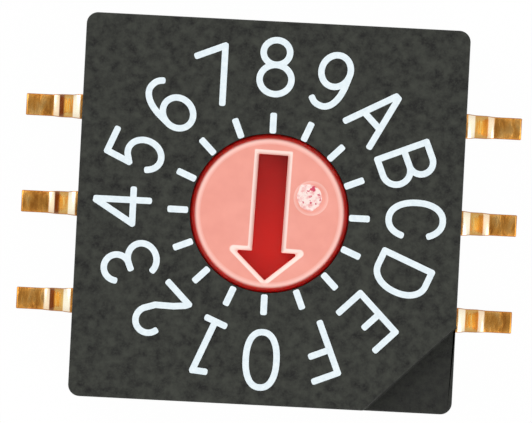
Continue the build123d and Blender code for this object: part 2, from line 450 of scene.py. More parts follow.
def black_plastic(name, dark, light, mottling, roughness, face=None):
    """Matt black moulding with a mottled grain, and painted shade that darkens it below the height of its
    face.
    """
    material, nodes = material_nodes(name)
    grain = add_grain(nodes, 22.0, mottling, 0.5)
    mottled = mix_colour(nodes, span(nodes, grain.outputs["Mottle"], 0.3, 0.72), dark, light)
    colour = mix_colour(nodes, span(nodes, grain.outputs["Speck"], 0.3, 1.0, 0.0, 0.5), mottled, light)
    if face:
        place = nodes.add("ShaderNodeTexCoord").outputs["Object"]
        height = nodes.add("ShaderNodeSeparateXYZ", {0: place}).outputs["Z"]
        # Painted shade: recesses below the face, such as the index corner's floor and the bore, are
        # darkened
        below = span(nodes, height, (face - 0.2) * MM, (face - 0.1) * MM, 0.45, 0.0)
        colour = mix_colour(nodes, below, colour, dark)
    finish_material(
        nodes,
        Base_Color=colour,
        Roughness=span(nodes, grain.outputs["Mottle"], 0.3, 0.7, roughness - 0.08, roughness + 0.08),
        Normal=grain.outputs["Normal"],
        Specular_IOR_Level=0.25,
    )
    return material


def print_white():
    """The dial's white ink, a little uneven."""
    material, nodes = material_nodes("dial_print_white")
    grain = add_grain(nodes, 40.0, 8.0, 0.25)
    colour = mix_colour(
        nodes, span(nodes, grain.outputs["Mottle"], 0.35, 0.65), srgb(223, 235, 241), srgb(233, 243, 247))
    finish_material(nodes, Base_Color=colour, Roughness=0.5, Normal=grain.outputs["Normal"])
    return material


def rotor_red():
    """Translucent red moulding: frosted pink flat top, painted highlights on the bevels and round the head,
    polished red elsewhere with painted shade and glow.
    """
    material, nodes = material_nodes("rotor_translucent_red")
    place = nodes.add("ShaderNodeTexCoord").outputs["Object"]
    axes = nodes.add("ShaderNodeSeparateXYZ", {0: place}).outputs
    flat = nodes.add("ShaderNodeCombineXYZ", {"X": axes["X"], "Y": axes["Y"]}).outputs[0]
    radius = nodes.add("ShaderNodeVectorMath", {0: flat}, operation="LENGTH").outputs["Value"]
    turn = Matrix.Rotation(math.radians(-ARROW_LEAN), 2)
    gate = turn @ Vector((GATE_SIDE, GATE_BACK)) * MM
    from_gate = nodes.add(
        "ShaderNodeVectorMath", {0: flat, 1: (gate.x, gate.y, 0)}, operation="DISTANCE").outputs["Value"]
    grain = add_grain(nodes, 30.0, 2.5, 0.15)
    top = ROTOR_TOP * MM
    bevel = ARROW_BEVEL_DEPTH * MM
    mottle = span(nodes, grain.outputs["Mottle"], 0.3, 0.7)
    frosted = mix_colour(nodes, mottle, srgb(236, 154, 139), srgb(241, 160, 145))
    # White of the painted highlights
    highlight_white = srgb(255, 228, 218)

    # Deep red, darkened by painted shade towards the slot's tail, and brightened by painted glow round the
    # rotor's side
    painted_shade_to_tail = span(nodes, axes["Y"], -ARROW_NECK * MM, ARROW_TAIL / 2 * MM)
    slot_red = mix_colour(nodes, painted_shade_to_tail, srgb(237, 49, 39), srgb(213, 43, 36))
    # Painted glow: a brighter red round the rotor's side
    painted_glow_to_side = span(nodes, radius, PAINTED_GLOW_RADIUS * MM, (PAINTED_GLOW_RADIUS + 0.07) * MM)
    deep = mix_colour(nodes, painted_glow_to_side, slot_red, srgb(246, 76, 68))

    # Where the surface is polished, and where it is frosted
    polished = calc(
        nodes, "MAXIMUM", span(nodes, axes["Z"], top - 1.3 * bevel, top - bevel, 1.0, 0.0),
        span(nodes, radius, POLISHED_RADIUS * MM, (POLISHED_RADIUS + 0.065) * MM))
    on_face = calc(
        nodes, "MULTIPLY", span(nodes, axes["Z"], top - 0.2 * bevel, top - 0.04 * bevel),
        span(nodes, radius, FROSTED_RADIUS * MM, (FROSTED_RADIUS + 0.08) * MM, 1.0, 0.0))
    in_dish = span(nodes, from_gate, 0.36 * MM, 0.6 * MM, 1.0, 0.0)
    is_frosted = calc(nodes, "MAXIMUM", on_face, in_dish)
    is_clear = calc(nodes, "MULTIPLY", polished, span(nodes, is_frosted, 0.0, 1.0, 1.0, 0.0))

    # Painted highlights: the bevels, palest at their upper edge, the ring round the head and the rim of the
    # gate's dish
    from_edge = span(nodes, axes["Z"], top - bevel, top - 0.6 * bevel)
    bevelled = mix_colour(nodes, from_edge, srgb(255, 190, 178), highlight_white)
    rounded = span(nodes, radius, FROSTED_RADIUS * MM, (FROSTED_RADIUS + 0.04) * MM)
    pale = mix_colour(nodes, rounded, bevelled, srgb(253, 196, 184))
    edges = mix_colour(nodes, polished, pale, deep)
    colour = mix_colour(nodes, is_frosted, edges, frosted)
    finish_material(
        nodes,
        Base_Color=colour,
        Roughness=span(nodes, is_clear, 0.0, 1.0, 0.42, 0.12),
        Normal=grain.outputs["Normal"],
        Subsurface_Weight=is_clear,
        Subsurface_Radius=(1.0, 0.08, 0.06),
        Subsurface_Scale=0.0015,
    )
    return material


def gate_painted_glint():
    """Torn plastic whose white is a painted glint, with faint pink cracks, and deep pink specks where the
    red shows through, more of them on the right.
    """
    material, nodes = material_nodes("gate_fracture_painted_glint")
    place = nodes.add("ShaderNodeTexCoord").outputs["Object"]
    across = nodes.add("ShaderNodeSeparateXYZ", {0: place}).outputs["X"]
    grain = add_grain(nodes, 7.0, 6.5, 0.5)
    cracks = span(nodes, grain.outputs["Speck"], 0.3, 0.8, 0.0, 0.9)
    cracked = mix_colour(nodes, cracks, srgb(250, 228, 221), srgb(236, 160, 158))
    middle = GATE_STUB_SIDE * MM
    on_right = span(nodes, across, middle - 0.1 * MM, middle + 0.1 * MM, 0.0, 0.09)
    level = calc(nodes, "ADD", grain.outputs["Mottle"], on_right)
    colour = mix_colour(nodes, span(nodes, level, 0.64, 0.68), cracked, srgb(205, 62, 92))
    finish_material(nodes, Base_Color=colour, Roughness=0.35, Normal=grain.outputs["Normal"])
    return material


def gold(name, flat, bend_highlight_colour, roughness):
    """Gold plating: brown on rolled flats, with painted highlights on the bends, painted reflections and
    highlight streaks on the slopes, painted shade in the left leads' crease, and dark sheared edges.
    """
    material, nodes = material_nodes(name)

    def product(first, second):
        return calc(nodes, "MULTIPLY", first, second)

    def distance(value, middle):
        return calc(nodes, "ABSOLUTE", calc(nodes, "SUBTRACT", value, middle))

    def height_span(low, high, to_low=0.0, to_high=1.0):
        return span(nodes, axes["Z"], low * MM, high * MM, to_low, to_high)

    place = nodes.add("ShaderNodeTexCoord").outputs
    axes = nodes.add("ShaderNodeSeparateXYZ", {0: place["Object"]}).outputs
    facing = nodes.add("ShaderNodeSeparateXYZ", {0: place["Normal"]}).outputs
    lie = facing["Z"]
    drawn_out = nodes.add(
        "ShaderNodeMapping", {"Vector": place["Object"], "Scale": (1.0, 0.4, 1.0)}).outputs[0]
    streaks = noise(nodes, drawn_out, 4000.0, 3.0)
    scratches = noise(nodes, drawn_out, 40000.0, 2.0)

    # Rolled flats, streaked along the grain
    light = tuple(value ** 0.7 for value in flat[:3]) + (1.0,)
    dark = shaded(flat, (0.72, 0.6, 0.5))
    toned = mix_colour(nodes, span(nodes, streaks, 0.35, 0.5, 1.0, 0.0), flat, dark)
    worn = mix_colour(nodes, span(nodes, streaks, 0.5, 0.66), toned, light)

    # Slopes: painted reflection, lightest in their middle and browner towards their ends, with painted
    # highlight streaks, and brown along their margins
    ends = span(nodes, distance(axes["Z"], SLOPE_MIDDLE * MM), 0.06 * MM, 0.2 * MM)
    painted_reflection = mix_colour(nodes, ends, shaded(flat, (0.8, 1.5, 2.8)), shaded(flat, (0.58, 0.78, 1.0)))
    painted_streak_highlight = span(nodes, streaks, 0.4, 0.65, 0.0, 0.5)
    streaked = mix_colour(nodes, painted_streak_highlight, painted_reflection, shaded(flat, (0.86, 1.62, 3.1)))
    aside = calc(nodes, "PINGPONG", axes["Y"], LEAD_PITCH / 2 * MM)
    margin = span(nodes, aside, (FOOT_WIDTH / 2 - 0.15) * MM, (FOOT_WIDTH / 2 - 0.03) * MM)
    slope = mix_colour(nodes, margin, streaked, shaded(flat, (0.6, 0.75, 0.9)))

    # Bends: painted highlight, brightest on the upper bend
    on_slope = span(nodes, lie, 0.53, 0.64, 1.0, 0.0)
    strip_top = FRAME_HEIGHT + GAUGE
    above_foot = height_span(GAUGE + 0.0005, GAUGE + 0.0035)
    below_top = height_span(strip_top - 0.0035, strip_top - 0.0005, 1.0, 0.0)
    bending = product(above_foot, below_top)
    upper = height_span(0.3, 0.6, 0.75, 1.0)
    painted_bend_highlight = product(product(span(nodes, lie, 0.53, 0.64), bending), upper)
    plated = mix_colour(nodes, painted_bend_highlight, mix_colour(nodes, on_slope, worn, slope), bend_highlight_colour)

    # Painted shade in the crease at the foot of the left leads' slopes, and dark sheared edges
    low = height_span(0.44, 0.52, 1.0, 0.0)
    left = span(nodes, axes["X"], -5.2 * MM, -5.1 * MM, 1.0, 0.0)
    steep = product(span(nodes, lie, 0.62, 0.74, 1.0, 0.0), span(nodes, lie, 0.2, 0.4))
    crease = product(product(low, left), steep)
    crease_painted_shade = mix_colour(nodes, crease, plated, shaded(flat, (0.17, 0.13, 0.2)))
    tip = product(distance(facing["X"], 0.0), height_span(0.19, 0.205, 1.0, 0.0))
    sheared = span(nodes, calc(nodes, "MAXIMUM", distance(facing["Y"], 0.0), tip), 0.06, 0.4)
    colour = mix_colour(nodes, sheared, crease_painted_shade, shaded(flat, (0.4, 0.32, 0.34)))

    waves = nodes.add("ShaderNodeBump", {
        "Height": streaks, "Strength": span(nodes, painted_bend_highlight, 0.0, 1.0, 1.0, 0.3), "Distance": 0.000025})
    bump = nodes.add("ShaderNodeBump", {
        "Height": scratches, "Strength": 0.1, "Distance": 0.00001, "Normal": waves.outputs["Normal"]})
    finish_material(
        nodes,
        Base_Color=colour,
        Metallic=1.0,
        Roughness=span(nodes, streaks, 0.3, 0.7, roughness - 0.03, roughness + 0.07),
        Normal=bump.outputs["Normal"],
    )
    return material


def plain_metal(name, colour, roughness):
    """Bare spring metal with darker clouds."""
    material, nodes = material_nodes(name)
    tone = noise(nodes, nodes.add("ShaderNodeTexCoord").outputs["Object"], 9000.0, 3.0)
    shade = mix_colour(nodes, span(nodes, tone, 0.3, 0.7, 0.0, 0.35), colour, (0.2, 0.2, 0.21, 1.0))
    finish_material(nodes, Base_Color=shade, Metallic=1.0, Roughness=roughness)
    return material


HOUSING_BLACK = black_plastic("housing_matt_black", srgb(11, 11, 9), srgb(56, 58, 52), 4.5, 0.6, FACE)
BASE_BLACK = black_plastic("base_matt_black", srgb(18, 18, 18), srgb(46, 46, 45), 6.0, 0.5)
SEAL_BLACK = black_plastic("seal_rubber_black", srgb(20, 20, 20), srgb(34, 34, 34), 8.0, 0.7)
PRINT_WHITE = print_white()
ROTOR_RED = rotor_red()
GATE_PAINTED_GLINT = gate_painted_glint()
LEAD_GOLD = gold("lead_gold_plate", (1.0, 0.45, 0.085, 1.0), (1.0, 0.92, 0.72, 1.0), 0.2)
CONTACT_GOLD = gold("contact_gold_plate", (1.0, 0.72, 0.3, 1.0), (1.0, 0.84, 0.52, 1.0), 0.22)
SPRING_STEEL = plain_metal("detent_spring_steel", (0.62, 0.62, 0.64, 1.0), 0.3)


# Body

def box_outline(half_length, half_width, radius):
    """A rectangle about the axis with rounded corners."""
    return round_corners([
        (half_length * x, half_width * y, radius) for x, y in ((1, 1), (-1, 1), (-1, -1), (1, -1))])


def place_at_corners(make):
    """One freshly made mesh at each of the four pegs' places."""
    for x in (-PEG_PLACE, PEG_PLACE):
        for y in (-PEG_PLACE, PEG_PLACE):
            yield moved(make(), x, y)


def make_peg():
    """A corner peg with its heat-formed head, a shallow dimple in the middle of the head."""
    bottom = PEG_HEAD_BOTTOM
    head_top = bottom + PEG_HEAD_HEIGHT
    profile = round_corners([
        (0, bottom + 0.05, 0), (0.25, bottom, 0.3), (PEG_HEAD_RADIUS, bottom, 0.16),
        (PEG_HEAD_RADIUS, head_top, 0.04), (PEG_RADIUS, head_top, 0.0), (PEG_RADIUS, FLANGE_TOP + 0.2, 0.0),
        (0, FLANGE_TOP + 0.2, 0)])
    return lathe(profile)


def make_housing():
    """The cover: index corner, bore with the seal's groove, cavity, spring pockets and pegs."""
    body = new_object("housing_shell", prism(box_outline(HALF, HALF, CORNER_RADIUS), FLANGE_TOP, FACE))
    wedge_half = INDEX_LEG / math.sqrt(2)
    wedge = prism(box_outline(wedge_half, wedge_half, 0), TOP - INDEX_DEPTH, TOP + 1)
    cut(body, moved(moved(wedge, 0, 0, 45), HALF, -HALF))
    soften(body, EDGE_ROUND)
    flare = RIM_ROUND * 2
    hollow = round_corners([
        (0, FLANGE_TOP - 1, 0), (CAVITY_RADIUS, FLANGE_TOP - 1, 0), (CAVITY_RADIUS, CAVITY_TOP, 0),
        (GROOVE_RADIUS, CAVITY_TOP, 0), (GROOVE_RADIUS, GROOVE_TOP, 0), (BORE_RADIUS, GROOVE_TOP, 0),
        (BORE_RADIUS, FACE - RIM_ROUND, 0), (BORE_RADIUS + RIM_ROUND, FACE, 0),
        (BORE_RADIUS + RIM_ROUND + flare, FACE + flare, 0), (0, FACE + flare, 0)])
    cut(body, lathe(hollow))
    pocket = box_outline(POCKET_HALF_LENGTH, POCKET_BACK, 0.1)
    cut(body, prism(pocket, FLANGE_TOP - 1, CAVITY_TOP))
    for peg in place_at_corners(make_peg):
        join(body, peg)
    return finish_piece(body, "switch_body", "housing_plastic", HOUSING_BLACK, "housing")


def make_base(leads):
    """The base with its plug, its bores for pegs and core pins, and seats for the leads."""
    outline = box_outline(BASE_HALF, BASE_HALF, CORNER_RADIUS)
    body = new_object("base_plate", prism(outline, BOARD_GAP, FLANGE_TOP))
    soften(body, BASE_EDGE_ROUND)
    join(body, post(CAVITY_RADIUS - PEG_PLAY, FLANGE_TOP - 0.1, PLUG_TOP))
    cut(body, post(PIVOT_RADIUS + PEG_PLAY, rotor_low.z - PEG_PLAY, PLUG_TOP + 1))
    head_room = PEG_HEAD_RADIUS + PEG_PLAY
    shank_room = PEG_RADIUS + PEG_PLAY
    seat = PEG_HEAD_BOTTOM + PEG_HEAD_HEIGHT
    bore = [
        (0, BOARD_GAP - 1), (head_room, BOARD_GAP - 1), (head_room, seat), (shank_room, seat),
        (shank_room, FLANGE_TOP + 1), (0, FLANGE_TOP + 1)]
    for hole in place_at_corners(lambda: lathe(bore)):
        cut(body, hole)
    for x in (-CORE_PIN_PLACE, CORE_PIN_PLACE):
        for y in (-LEAD_PITCH, 0, LEAD_PITCH):
            cut(body, moved(post(CORE_PIN_RADIUS, BOARD_GAP - 1, FRAME_HEIGHT), x, y))
    for lead in leads:
        cut(body, lead)
    return finish_piece(body, "switch_body", "base_plastic", BASE_BLACK, "base")


# Leads

def strip_ring(x, z, tilt, y_low, y_high, shrink=0.0):
    """One rounded section of a strip, upright to its path."""
    across = GAUGE / 2 - shrink
    edge = STRIP_EDGE - shrink * 0.5
    section = round_corners([
        (y_high - shrink, across, edge), (y_low + shrink, across, edge),
        (y_low + shrink, -across, edge), (y_high - shrink, -across, edge)], step=math.radians(30))
    return [(x - math.sin(tilt) * up, y, z + math.cos(tilt) * up) for y, up in section]


def lead_stations(row, pad_low, pad_high):
    """Places along a lead on the +X side: (x, z, tilt, y_low, y_high), from its pad to its tip."""
    level = FRAME_HEIGHT + GAUGE / 2
    root, foot = ROOT_WIDTH / 2, FOOT_WIDTH / 2
    stations = [
        (PAD_IN, level, 0, pad_low, pad_high),
        (PAD_OUT - 0.01, level, 0, pad_low, pad_high),
        (PAD_OUT, level, 0, row - root, row + root),
        (HALF, level, 0, row - root, row + root),
    ]
    upper_tangent = UPPER_BEND * math.tan(SLOPE_ANGLE / 2)
    lower_tangent = LOWER_BEND * math.tan(SLOPE_ANGLE / 2)
    first = HALF + LEVEL_LENGTH + upper_tangent
    second = first + FRAME_HEIGHT / math.tan(SLOPE_ANGLE)
    for k in range(BEND_STEPS + 1):
        angle = SLOPE_ANGLE * k / BEND_STEPS
        x = first - upper_tangent + UPPER_BEND * math.sin(angle)
        z = level - UPPER_BEND * (1 - math.cos(angle))
        share = 0.5 * k / BEND_STEPS
        width = root + (foot - root) * share
        stations.append((x, z, -angle, row - width, row + width))
    for k in range(BEND_STEPS + 1):
        angle = SLOPE_ANGLE * (1 - k / BEND_STEPS)
        x = second + lower_tangent - LOWER_BEND * math.sin(angle)
        z = GAUGE / 2 + LOWER_BEND * (1 - math.cos(angle))
        share = 0.5 + 0.5 * k / BEND_STEPS
        width = root + (foot - root) * share
        stations.append((x, z, -angle, row - width, row + width))
    for x in (second + lower_tangent + STRIP_EDGE, LEAD_TIP - 2 * STRIP_EDGE, LEAD_TIP - STRIP_EDGE):
        stations.append((x, GAUGE / 2, 0, row - foot, row + foot))
    return stations


def lead_rings(row, node, side):
    """A lead's sections from its pad to its tip, on the side asked for."""
    low, high = box_mm(node)
    pad_low = min(low.y, row - ROOT_WIDTH / 2)
    pad_high = max(high.y, row + ROOT_WIDTH / 2)
    if node == "common_terminal":
        pad_low, pad_high = (pad_low, ROOT_WIDTH / 2) if side > 0 else (-ROOT_WIDTH / 2, pad_high)
    stations = lead_stations(row, pad_low, pad_high)
    rings = [strip_ring(*station) for station in stations]
    tip = stations[-1]
    rings.append(strip_ring(LEAD_TIP, tip[1], 0, tip[3], tip[4], shrink=STRIP_EDGE * 0.6))
    if node == "common_terminal":
        bar = [strip_ring(PAD_IN - 0.01, stations[0][1], 0, row - ROOT_WIDTH / 2, row + ROOT_WIDTH / 2)]
        rings = bar + rings
    return [[(x * side, y, z) for x, y, z in ring] for ring in rings]


def make_leads():
    """The five lead strips, each with the node that it stands for."""
    pieces = []
    rows = {"terminal_1": (-LEAD_PITCH, 1), "terminal_2": (-LEAD_PITCH, -1),
            "terminal_4": (LEAD_PITCH, -1), "terminal_8": (LEAD_PITCH, 1)}
    for node, (row, side) in rows.items():
        pieces.append((new_object(node + "_lead", loft(lead_rings(row, node, side))), node))
    left = lead_rings(0, "common_terminal", -1)
    right = lead_rings(0, "common_terminal", 1)
    both = loft([*reversed(left), *right])
    pieces.append((new_object("common_terminal_lead", both), "common_terminal"))
    return pieces


# Rotor

def notch_dent(radius, angle):
    """How far the wheel's rim is notched at an angle."""
    if radius < WHEEL_RADIUS - 0.01:
        return 0.0
    pitch = 2 * math.pi / POSITIONS
    off = (angle + pitch / 2) % pitch - pitch / 2
    centre = WHEEL_RADIUS - NOTCH_DEPTH + NOTCH_RADIUS
    across = centre * math.sin(off)
    if abs(across) >= NOTCH_RADIUS:
        return 0.0
    rim = centre * math.cos(off) - math.sqrt(NOTCH_RADIUS ** 2 - across ** 2)
    return max(0.0, WHEEL_RADIUS - rim)


def arrow_outline(spread, rounding):
    """The arrow pointing to -Y, with its edges moved outwards by spread and its wings blunted by it."""
    shaft = ARROW_SHAFT_WIDTH / 2 + spread
    slope = math.atan2(ARROW_TIP - ARROW_NECK, ARROW_HEAD_WIDTH / 2)
    tip = ARROW_TIP + spread / math.cos(slope)
    neck = ARROW_NECK - spread
    wing = (tip - neck) / math.tan(slope)
    tail = ARROW_TAIL + spread
    wing_round = ARROW_WING_ROUND + spread / 2
    return round_corners([
        (shaft, tail, rounding), (-shaft, tail, rounding), (-shaft, -neck, rounding),
        (-wing, -neck, wing_round), (0, -tip, rounding), (wing, -neck, wing_round),
        (shaft, -neck, rounding)], step=math.radians(20))


def make_rotor():
    """The rotor: pivot, notched wheel and head, with the arrow slot and the gate's dish."""
    profile = round_corners([
        (0, rotor_low.z, 0), (PIVOT_RADIUS, rotor_low.z, 0.08), (PIVOT_RADIUS, WHEEL_BOTTOM, 0.0),
        (WHEEL_RADIUS, WHEEL_BOTTOM, 0.0), (WHEEL_RADIUS, WHEEL_TOP, 0.0), (HEAD_RADIUS, WHEEL_TOP, 0.0),
        (HEAD_RADIUS, ROTOR_TOP, HEAD_ROUND), (HEAD_RADIUS - HEAD_ROUND - 0.02, ROTOR_TOP, 0.0),
        (0, ROTOR_TOP, 0)])
    body = new_object("rotor_knob", lathe(profile, notch_dent))
    slope = ARROW_BEVEL_WIDTH / ARROW_BEVEL_DEPTH
    over = 0.05
    levels = [
        (ROTOR_TOP - ARROW_DEPTH, -0.02), (ROTOR_TOP - ARROW_DEPTH + 0.03, 0.0),
        (ROTOR_TOP - ARROW_BEVEL_DEPTH, 0.0), (ROTOR_TOP, ARROW_BEVEL_WIDTH),
        (ROTOR_TOP + over, ARROW_BEVEL_WIDTH + over * slope)]
    arrow = loft([[(x, y, z) for x, y in arrow_outline(spread, 0.03)] for z, spread in levels])
    cut(body, moved(arrow, 0, 0, -ARROW_LEAN))
    ball = (GATE_DISH_RADIUS ** 2 + GATE_DISH_DEPTH ** 2) / (2 * GATE_DISH_DEPTH)
    floor = ROTOR_TOP - GATE_DISH_DEPTH
    widest = math.asin(GATE_DISH_RADIUS / ball) * 1.3
    steps = [widest * k / 16 for k in range(17)]
    arc = [(ball * math.sin(angle), floor + ball * (1 - math.cos(angle))) for angle in steps]
    cut(body, moved(lathe([*arc, (0, arc[-1][1])]), GATE_SIDE, GATE_BACK, -ARROW_LEAN))
    disc = bmesh.new()
    disc.from_mesh(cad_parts["code_disc"].data)
    bmesh.ops.scale(disc, vec=(1 / MM,) * 3, verts=disc.verts)
    bmesh.ops.remove_doubles(disc, verts=disc.verts, dist=1e-4)
    cut(body, disc)
    return finish_piece(body, "rotor_body", "rotor_plastic", ROTOR_RED, "rotor")


def make_gate_stub():
    """The torn stub left where the moulding was broken from its runner."""
    draw = random.Random(7)
    floor = ROTOR_TOP - GATE_DISH_DEPTH
    rings, spokes = 5, 14
    bm = bmesh.new()
    centre = bm.verts.new((0, 0, floor + 0.055))
    loops = []
    for ring in range(1, rings + 1):
        loop = []
        for spoke in range(spokes):
            angle = 2 * math.pi * (spoke + draw.uniform(-0.25, 0.25)) / spokes
            radius = GATE_STUB_RADIUS * ring / rings * draw.uniform(0.86, 1.05)
            rise = draw.uniform(0.045, 0.088) if ring < rings else draw.uniform(-0.005, 0.02)
            loop.append(bm.verts.new((radius * math.cos(angle), radius * math.sin(angle), floor + rise)))
        loops.append(loop)
    skirt = [bm.verts.new((v.co.x * 0.98, v.co.y * 0.98, floor - 0.03)) for v in loops[-1]]
    loops.append(skirt)
    for i in range(spokes):
        j = (i + 1) % spokes
        bm.faces.new((centre, loops[0][i], loops[0][j]))
    for low, high in zip(loops, loops[1:]):
        for i in range(spokes):
            j = (i + 1) % spokes
            bm.faces.new((low[i], high[i], high[j], low[j]))
    bm.faces.new(skirt)
    bmesh.ops.triangulate(bm, faces=bm.faces)
    stub = new_object("gate_stub", moved(tidy(bm), GATE_STUB_SIDE, GATE_STUB_BACK, -ARROW_LEAN))
    return finish_piece(stub, "rotor_body", "rotor_plastic", GATE_PAINTED_GLINT)


# Dial print

def oval(x, y, across, up, start, end, fullness=2.0):
    """Points along an oval from one angle to another, in degrees anticlockwise from the right."""
    points = []
    count = max(3, int(abs(end - start) / 6))
    for k in range(count + 1):
        angle = math.radians(start + (end - start) * k / count)
        c, s = math.cos(angle), math.sin(angle)
        points.append((
            x + across * math.copysign(abs(c) ** (2 / fullness), c),
            y + up * math.copysign(abs(s) ** (2 / fullness), s)))
    return points


# Each character's pen strokes: x from its middle line and y above its foot, in millimetres
GLYPHS = {
    "0": [oval(0, 0.8, 0.40, 0.72, -5, 185, 2.3), oval(0, 0.8, 0.40, 0.72, 175, 365, 2.3)],
    "1": [[(-0.26, 1.42), (0.0, 1.5)], [(0.0, 1.5), (0.05, 1.52)], [(0.05, 1.51), (0.05, 0.12)],
          [(-0.21, 0.12), (0.28, 0.12)]],
    "2": [[*oval(0.05, 1.165, 0.335, 0.34, 170, -20),
           (0.22, 0.77), (-0.12, 0.45), (-0.32, 0.21), (-0.36, 0.12)],
          [(-0.36, 0.12), (0.42, 0.12)]],
    "3": [oval(0.01, 1.19, 0.34, 0.335, 150, -85), [(0.03, 0.86), (-0.13, 0.86)],
          oval(0.0, 0.49, 0.41, 0.37, 82, -155)],
    "4": [[(0.15, 1.5), (-0.43, 0.535)], [(-0.43, 0.535), (0.46, 0.535)], [(0.18, 1.5), (0.18, 0.12)]],
    "5": [[(-0.31, 1.5), (0.31, 1.5)], [(-0.31, 1.5), (-0.335, 0.86)],
          [(-0.335, 0.86), *oval(0.0, 0.575, 0.375, 0.45, 118, -150)]],
    "6": [oval(0.035, 0.82, 0.415, 0.7, 57, 180, 2.3), oval(0.01, 0.53, 0.375, 0.42, -20, 170),
          oval(0.01, 0.53, 0.375, 0.42, 160, 345), [(-0.38, 0.82), (-0.365, 0.53)]],
    "7": [[(-0.37, 1.5), (0.41, 1.5)], [(0.41, 1.5), (-0.17, 0.12)]],
    "8": [oval(0, 1.205, 0.345, 0.32, -95, 95), oval(0, 1.205, 0.345, 0.32, 85, 275),
          oval(0, 0.5, 0.415, 0.38, -95, 95), oval(0, 0.5, 0.415, 0.38, 85, 275)],
    "9": [oval(-0.035, 0.82, 0.415, 0.7, 237, 360, 2.3), oval(-0.01, 1.11, 0.375, 0.42, -20, 170),
          oval(-0.01, 1.11, 0.375, 0.42, 160, 345), [(0.38, 0.82), (0.365, 1.11)]],
    "A": [[(-0.46, 0.12), (-0.04, 1.51)], [(-0.04, 1.51), (0.04, 1.51)], [(0.04, 1.51), (0.46, 0.12)],
          [(-0.3, 0.62), (0.3, 0.62)]],
    "B": [[(-0.385, 0.14), (-0.385, 1.5)],
          [(-0.385, 1.5), (0.06, 1.5), *oval(0.06, 1.185, 0.315, 0.315, 85, -90)],
          [(-0.385, 0.87), (0.06, 0.87), *oval(0.06, 0.505, 0.355, 0.365, 85, -90), (-0.385, 0.14)]],
    "C": [oval(-0.03, 0.83, 0.455, 0.705, 29, 331, 2.2)],
    "D": [[(-0.44, 0.14), (-0.44, 1.49)],
          [(-0.44, 1.49), (-0.04, 1.49), *oval(-0.04, 0.815, 0.46, 0.675, 86, -90, 2.1), (-0.44, 0.14)]],
    "E": [[(-0.39, 0.13), (-0.39, 1.49)], [(-0.39, 1.49), (0.31, 1.49)], [(-0.39, 0.86), (0.12, 0.86)],
          [(-0.39, 0.13), (0.35, 0.13)]],
    "F": [[(-0.31, 0.12), (-0.31, 1.5)], [(-0.31, 1.5), (0.34, 1.5)], [(-0.31, 0.86), (0.2, 0.86)]],
}


def pen_band(stroke, width):
    """The outline of one printed stroke, with softly squared ends."""
    points = [Vector(p) for p in stroke]
    points = [p for i, p in enumerate(points) if i == 0 or (p - points[i - 1]).length > 1e-6]
    radius = width / 2
    left, right = [], []
    for i, point in enumerate(points):
        back = (point - points[i - 1]).normalized() if i else None
        ahead = (points[i + 1] - point).normalized() if i + 1 < len(points) else None
        along = ((back or ahead) + (ahead or back)).normalized()
        normal = Vector((-along.y, along.x))
        stretch = 1 / max(0.5, along.dot(ahead or back))
        left.append(point + normal * radius * stretch)
        right.append(point - normal * radius * stretch)
    caps = []
    for end, inner in ((points[-1], points[-2]), (points[0], points[1])):
        heading = (end - inner).normalized()
        across = Vector((-heading.y, heading.x))
        caps.append([
            end + heading * reach * radius + across * side * radius
            for reach, side in oval(0, 0, 0.9, 1, 82.5, -82.5, 2.8)])
    return (left + caps[0] + right[::-1] + caps[1])[::-1]


def united(bands, low, high):
    """One flat-topped solid that covers every band."""
    corners, faces = [], []
    for band in bands:
        start = len(corners)
        corners.extend(band)
        faces.append(list(range(start, start + len(band))))
    found = delaunay_2d_cdt(corners, [], faces, 1, 1e-6)
    bm = bmesh.new()
    verts = [bm.verts.new((v.x, v.y, high)) for v in found[0]]
    for face, sources in zip(found[2], found[5]):
        if sources:
            bm.faces.new([verts[i] for i in face])
    bmesh.ops.delete(bm, geom=[v for v in bm.verts if not v.link_faces], context="VERTS")
    bmesh.ops.dissolve_limit(bm, angle_limit=0.001, verts=bm.verts, edges=bm.edges)
    bmesh.ops.triangulate(bm, faces=bm.faces)
    raised = bmesh.ops.extrude_face_region(bm, geom=bm.faces[:])
    lowered = [v for v in raised["geom"] if isinstance(v, bmesh.types.BMVert)]
    bmesh.ops.translate(bm, vec=(0, 0, low - high), verts=lowered)
    return tidy(bm)


def make_characters():
    """The sixteen characters round the dial, their feet towards the rotor."""
    whole = bmesh.new()
    for index, (name, strokes) in enumerate(GLYPHS.items()):
        glyph = united([pen_band(stroke, PEN_WIDTH) for stroke in strokes], FACE - PRINT_HEIGHT, TOP)
        turn = -90 - index * 360 / POSITIONS
        bmesh.ops.translate(glyph, vec=(0, GLYPH_FOOT, 0), verts=glyph.verts)
        moved(glyph, 0, 0, turn - 90)
        mesh = bpy.data.meshes.new("glyph")
        glyph.to_mesh(mesh)
        glyph.free()
        whole.from_mesh(mesh)
        bpy.data.meshes.remove(mesh)
    bmesh.ops.translate(whole, vec=PRINT_OFFSET, verts=whole.verts)
    characters = new_object("dial_characters", whole)
    return finish_piece(characters, "switch_body", "housing_plastic", PRINT_WHITE)


